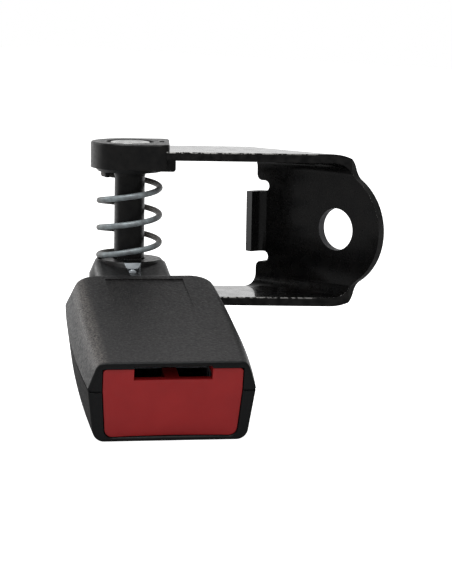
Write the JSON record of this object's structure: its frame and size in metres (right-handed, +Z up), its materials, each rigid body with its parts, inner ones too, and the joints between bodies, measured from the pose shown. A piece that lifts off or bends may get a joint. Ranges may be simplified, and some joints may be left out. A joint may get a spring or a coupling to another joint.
{
  "type": "seat belt buckle",
  "caption": "Push-button seat belt buckle on a short steel stalk that swivels on a spring-returned pin between the arms of a folded anchor bracket.",
  "frame": {"origin": "centre of the anchor bolt hole on the bracket's mounting face", "axes": "+Y out of the mounting face along the bolt, +Z up the swivel pin, +X towards the web's round end"},
  "size_m": [0.0941, 0.1114, 0.0679],
  "materials": {
    "black_coated_steel": "semi-gloss black coat",
    "bright_steel": "turned steel",
    "zinc_steel": "bright zinc plate",
    "spring_steel": "drawn wire",
    "hardened_steel": "tumbled",
    "black_plastic": "moulded, satin",
    "housing_plastic": "fine spark texture",
    "red_plastic": "smooth moulded red",
    "ejector_plastic": "natural moulding",
    "natural_nylon": "natural moulding"
  },
  "bodies": {
    "bracket": {"bracket": "black_coated_steel", "pivot_rivet": "bright_steel", "pivot_cap": "black_plastic", "spacer_bush": "black_plastic", "return_spring": "spring_steel", "thrust_washer": "natural_nylon"},
    "buckle": {"anchor_strap": "zinc_steel", "pivot_bush": "zinc_steel", "neck_collar": "black_plastic", "strap_rivets": "bright_steel", "upper_shell": "housing_plastic", "lower_shell": "housing_plastic", "button_springs": "spring_steel", "frame": "zinc_steel", "latch_pin": "bright_steel", "latch_spring": "spring_steel", "ejector_spring": "spring_steel"},
    "button": {"push_button": "red_plastic"},
    "latch": {"latch": "hardened_steel"},
    "ejector": {"ejector": "ejector_plastic"}
  },
  "joints": [
    {"name": "buckle_swing", "type": "hinge", "parent": "bracket", "child": "buckle", "pos_m": [-0.0484, -0.03663, 0], "axis": [0, 0, 1], "range_deg": [-90, 22], "stiffness_Nm_per_rad": 0.44, "deforming": ["return_spring"]},
    {"name": "button_press", "type": "slide", "parent": "buckle", "child": "button", "axis": [-0.7446, 0.6337, 0.2096], "range_m": [0, 0.005], "stiffness_N_per_m": 1500, "deforming": ["button_springs"]},
    {"name": "latch_tilt", "type": "hinge", "parent": "buckle", "child": "latch", "pos_m": [-0.01014, -0.06919, -0.02715], "axis": [0.6481, 0.7615, 0], "range_deg": [0, 8.1], "deforming": ["latch_spring"]},
    {"name": "ejector_slide", "type": "slide", "parent": "buckle", "child": "ejector", "axis": [-0.7446, 0.6337, 0.2096], "range_m": [0, 0.007], "stiffness_N_per_m": 800, "deforming": ["ejector_spring"]}
  ],
  "couplings": [
    {"joint": "latch_tilt", "follows": "button_press", "rad_per_m": 27.925}
  ]
}
